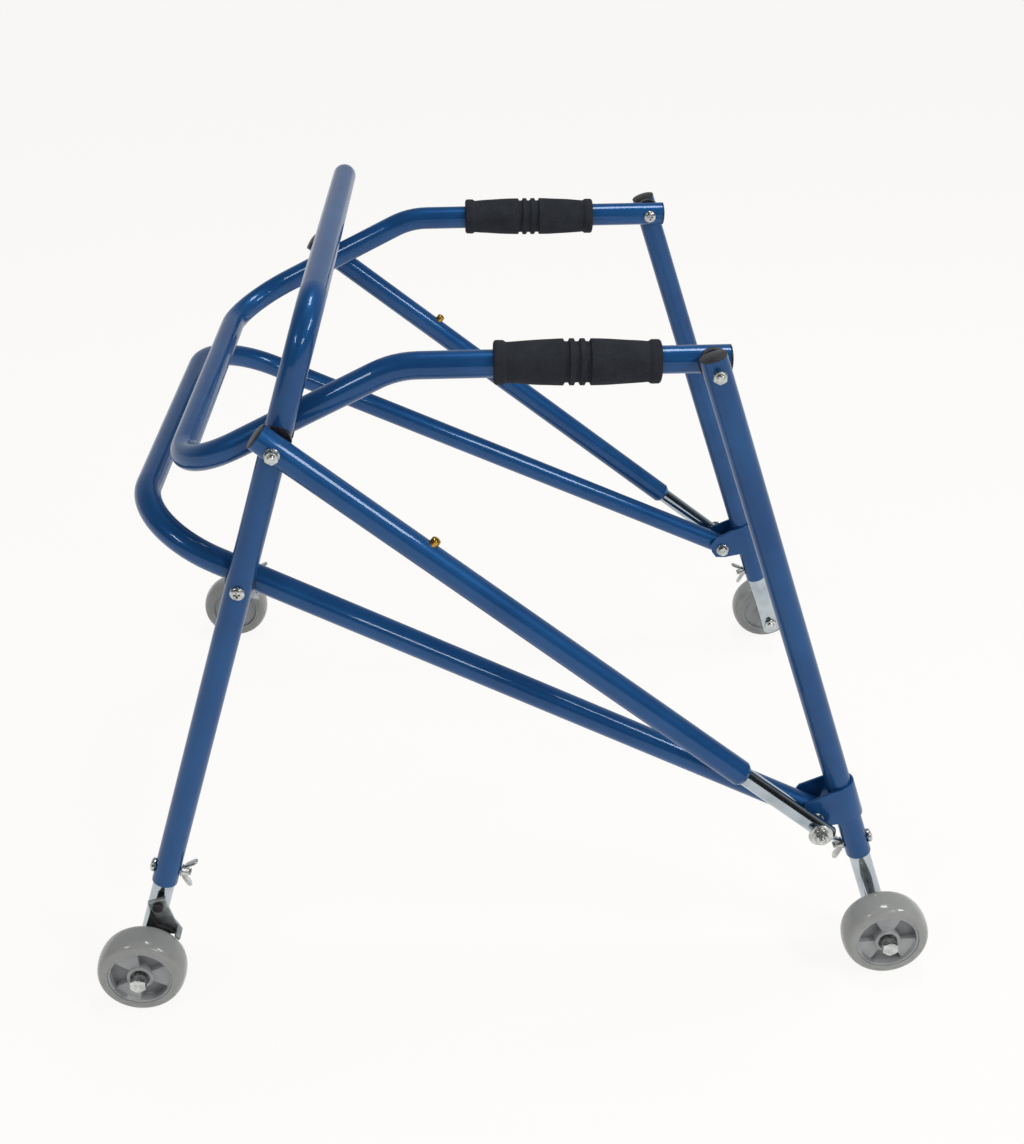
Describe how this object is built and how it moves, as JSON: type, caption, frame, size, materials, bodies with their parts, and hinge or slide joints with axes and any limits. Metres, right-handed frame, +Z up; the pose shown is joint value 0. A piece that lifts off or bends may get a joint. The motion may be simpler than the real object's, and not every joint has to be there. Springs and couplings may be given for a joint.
{
  "type": "posterior walker",
  "caption": "Folding posterior walker: bent-tube rear frame, handle and lower bar, telescopic braces with release buttons, foam grips, height-adjustable legs and plastic wheels with pawls.",
  "frame": {"origin": "on the floor, midway between the front and rear axles and between the two sides", "axes": "+X forward, the way the user walks; +Y to the user's left; +Z up"},
  "size_m": [0.7284, 0.6592, 0.6148],
  "materials": {
    "blue_paint": "gloss powder coat",
    "zinc_plate": "bright zinc",
    "black_plastic": "moulded",
    "black_foam": "closed-cell foam",
    "black_rubber": "moulded",
    "galvanised": "galvanised sheet",
    "chrome": "polished",
    "brass": "polished",
    "grey_tread": "moulded",
    "grey_hub": "moulded"
  },
  "bodies": {
    "rear_frame": {"rear_frame": "blue_paint", "rear_upper_bolts": "zinc_plate", "rear_lower_bolts": "zinc_plate", "rear_spacers": "black_plastic", "rear_clamp_bolts": "zinc_plate"},
    "handle": {"handle_bar": "blue_paint", "grip_left": "black_foam", "grip_right": "black_foam", "handle_plugs": "black_plastic", "handle_bolts": "zinc_plate", "handle_spacers": "black_plastic"},
    "lower_bar": {"lower_bar": "blue_paint", "lower_bar_pins": "zinc_plate"},
    "front_leg_left": {"front_leg_left": "blue_paint", "front_plug_left": "black_plastic", "bracket_left": "blue_paint", "brace_bolt_left": "zinc_plate", "front_clamp_bolt_left": "zinc_plate"},
    "brace_outer_left": {"brace_outer_left": "blue_paint", "brace_plug_left": "black_plastic"},
    "brace_inner_left": {"brace_inner_left": "chrome"},
    "button_left": {"button_left": "brass"},
    "pawl_left": {"pawl_left": "galvanised", "pawl_pad_left": "black_rubber"},
    "ext_rear_left": {"ext_rear_left": "chrome", "axle_rear_left": "zinc_plate", "pawl_pin_left": "black_plastic"},
    "wheel_rear_left": {"tyre_rear_left": "grey_tread", "hub_rear_left": "grey_hub"},
    "wing_rear_left": {"wing_rear_left": "zinc_plate"},
    "ext_front_left": {"ext_front_left": "chrome", "axle_front_left": "zinc_plate"},
    "wheel_front_left": {"tyre_front_left": "grey_tread", "hub_front_left": "grey_hub"},
    "wing_front_left": {"wing_front_left": "zinc_plate"},
    "front_leg_right": {"front_leg_right": "blue_paint", "front_plug_right": "black_plastic", "bracket_right": "blue_paint", "brace_bolt_right": "zinc_plate", "front_clamp_bolt_right": "zinc_plate"},
    "brace_outer_right": {"brace_outer_right": "blue_paint", "brace_plug_right": "black_plastic"},
    "brace_inner_right": {"brace_inner_right": "chrome"},
    "button_right": {"button_right": "brass"},
    "pawl_right": {"pawl_right": "galvanised", "pawl_pad_right": "black_rubber"},
    "ext_rear_right": {"ext_rear_right": "chrome", "axle_rear_right": "zinc_plate", "pawl_pin_right": "black_plastic"},
    "wheel_rear_right": {"tyre_rear_right": "grey_tread", "hub_rear_right": "grey_hub"},
    "wing_rear_right": {"wing_rear_right": "zinc_plate"},
    "ext_front_right": {"ext_front_right": "chrome", "axle_front_right": "zinc_plate"},
    "wheel_front_right": {"tyre_front_right": "grey_tread", "hub_front_right": "grey_hub"},
    "wing_front_right": {"wing_front_right": "zinc_plate"}
  },
  "joints": [
    {"name": "fold", "type": "hinge", "parent": "rear_frame", "child": "handle", "pos_m": [-0.1863, 0, 0.5063], "axis": [0, 1, 0], "range_deg": [0, 64.33]},
    {"name": "lower_bar_turn", "type": "hinge", "parent": "rear_frame", "child": "lower_bar", "pos_m": [-0.22435, 0, 0.37892], "axis": [0, 1, 0], "range_deg": [0, 60.02]},
    {"name": "front_leg_turn_left", "type": "hinge", "parent": "handle", "child": "front_leg_left", "pos_m": [0.1526, 0.2319, 0.556], "axis": [0, 1, 0], "range_deg": [-23.18, 0]},
    {"name": "brace_turn_left", "type": "hinge", "parent": "rear_frame", "child": "brace_outer_left", "pos_m": [-0.1863, 0.2565, 0.5063], "axis": [0, 1, 0], "range_deg": [0, 50.89]},
    {"name": "brace_slide_left", "type": "slide", "parent": "brace_outer_left", "child": "brace_inner_left", "axis": [0.7777, 0.0245, -0.6282], "range_m": [0, 0.08983]},
    {"name": "button_press_left", "type": "slide", "parent": "brace_outer_left", "child": "button_left", "axis": [-0.6284, 0, -0.7779], "range_m": [0, 0.005], "stiffness_N_per_m": 600, "springref_m": -0.002},
    {"name": "height_rear_left", "type": "slide", "parent": "rear_frame", "child": "ext_rear_left", "axis": [-0.2853, 0.0828, -0.9549], "range_m": [0, 0.1]},
    {"name": "wheel_rear_left", "type": "hinge", "parent": "ext_rear_left", "child": "wheel_rear_left", "pos_m": [-0.3262, 0.3066, 0.038], "axis": [0, 1, 0], "continuous": true},
    {"name": "wing_rear_left", "type": "hinge", "parent": "rear_frame", "child": "wing_rear_left", "pos_m": [-0.30384, 0.26601, 0.11286], "axis": [0.9582, 0, -0.2862], "continuous": true},
    {"name": "height_front_left", "type": "slide", "parent": "front_leg_left", "child": "ext_front_left", "axis": [0.3176, 0.0324, -0.9477], "range_m": [0, 0.1]},
    {"name": "wheel_front_left", "type": "hinge", "parent": "ext_front_left", "child": "wheel_front_left", "pos_m": [0.3262, 0.2837, 0.038], "axis": [0, 1, 0], "continuous": true},
    {"name": "wing_front_left", "type": "hinge", "parent": "front_leg_left", "child": "wing_front_left", "pos_m": [0.3013, 0.24706, 0.1123], "axis": [-0.9482, 0, -0.3178], "continuous": true},
    {"name": "pawl_left", "type": "hinge", "parent": "ext_rear_left", "child": "pawl_left", "pos_m": [-0.31179, 0.26832, 0.08622], "axis": [0, 1, 0], "range_deg": [-15, 0], "stiffness_Nm_per_rad": 0.15, "springref_deg": 20.05},
    {"name": "front_leg_turn_right", "type": "hinge", "parent": "handle", "child": "front_leg_right", "pos_m": [0.1526, -0.2319, 0.556], "axis": [0, 1, 0], "range_deg": [-23.18, 0]},
    {"name": "brace_turn_right", "type": "hinge", "parent": "rear_frame", "child": "brace_outer_right", "pos_m": [-0.1863, -0.2565, 0.5063], "axis": [0, 1, 0], "range_deg": [0, 50.89]},
    {"name": "brace_slide_right", "type": "slide", "parent": "brace_outer_right", "child": "brace_inner_right", "axis": [0.7777, -0.0245, -0.6282], "range_m": [0, 0.08983]},
    {"name": "button_press_right", "type": "slide", "parent": "brace_outer_right", "child": "button_right", "axis": [-0.6284, 0, -0.7779], "range_m": [0, 0.005], "stiffness_N_per_m": 600, "springref_m": -0.002},
    {"name": "height_rear_right", "type": "slide", "parent": "rear_frame", "child": "ext_rear_right", "axis": [-0.2853, -0.0828, -0.9549], "range_m": [0, 0.1]},
    {"name": "wheel_rear_right", "type": "hinge", "parent": "ext_rear_right", "child": "wheel_rear_right", "pos_m": [-0.3262, -0.3066, 0.038], "axis": [0, 1, 0], "continuous": true},
    {"name": "wing_rear_right", "type": "hinge", "parent": "rear_frame", "child": "wing_rear_right", "pos_m": [-0.30384, -0.26601, 0.11286], "axis": [0.9582, 0, -0.2862], "continuous": true},
    {"name": "height_front_right", "type": "slide", "parent": "front_leg_right", "child": "ext_front_right", "axis": [0.3176, -0.0324, -0.9477], "range_m": [0, 0.1]},
    {"name": "wheel_front_right", "type": "hinge", "parent": "ext_front_right", "child": "wheel_front_right", "pos_m": [0.3262, -0.2837, 0.038], "axis": [0, 1, 0], "continuous": true},
    {"name": "wing_front_right", "type": "hinge", "parent": "front_leg_right", "child": "wing_front_right", "pos_m": [0.3013, -0.24706, 0.1123], "axis": [-0.9482, 0, -0.3178], "continuous": true},
    {"name": "pawl_right", "type": "hinge", "parent": "ext_rear_right", "child": "pawl_right", "pos_m": [-0.31179, -0.26832, 0.08622], "axis": [0, 1, 0], "range_deg": [-15, 0], "stiffness_Nm_per_rad": 0.15, "springref_deg": 20.05}
  ],
  "couplings": [
    {"joint": "lower_bar_turn", "follows": "fold", "ratio": 0.93262},
    {"joint": "front_leg_turn_left", "follows": "fold", "ratio": -0.35997},
    {"joint": "brace_turn_left", "follows": "fold", "ratio": 0.79075},
    {"joint": "brace_slide_left", "follows": "fold", "m_per_rad": 0.079909},
    {"joint": "front_leg_turn_right", "follows": "fold", "ratio": -0.35997},
    {"joint": "brace_turn_right", "follows": "fold", "ratio": 0.79075},
    {"joint": "brace_slide_right", "follows": "fold", "m_per_rad": 0.079909}
  ]
}
